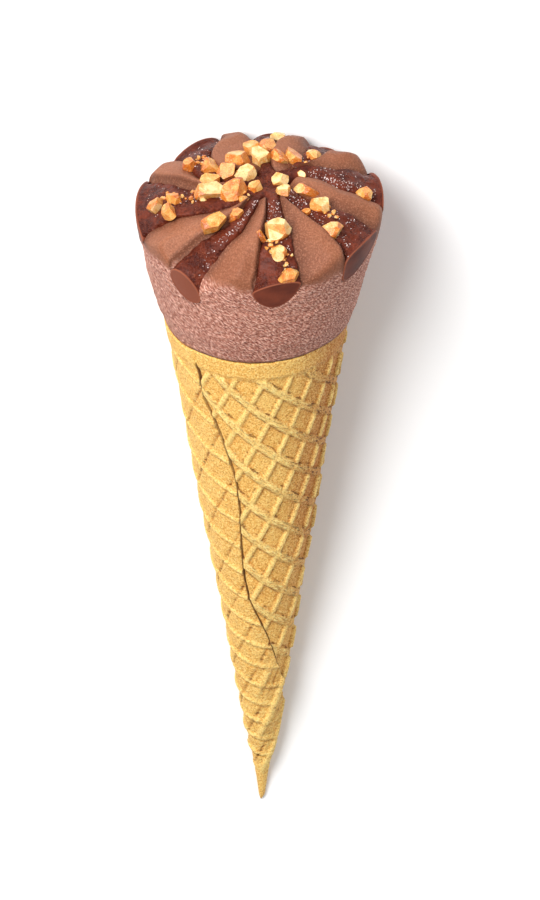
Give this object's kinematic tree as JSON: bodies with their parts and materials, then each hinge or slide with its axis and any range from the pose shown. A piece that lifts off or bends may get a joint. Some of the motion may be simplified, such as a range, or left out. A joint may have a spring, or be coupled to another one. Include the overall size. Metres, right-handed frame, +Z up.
{
  "type": "ice cream cone",
  "caption": "Chocolate ice cream with sauce strands and chopped nuts in a rolled waffle wafer cone, lying on its back.",
  "frame": {"origin": "centre of the bounding box at table level", "axes": "+Z up, away from the table and out of the shown side; +Y from the wafer's point towards the ice cream head; +X to the right of the shown side, the head upwards"},
  "size_m": [0.0582, 0.1806, 0.0572],
  "materials": {
    "baked_wafer": "dry baked",
    "chocolate_ice_cream": "frozen, fine grained",
    "dark_chocolate": "satin, frosted in places"
  },
  "bodies": {
    "root": {"wafer_cone": "baked_wafer", "ice_cream": "chocolate_ice_cream", "chocolate_sauce": "dark_chocolate"}
  },
  "joints": []
}
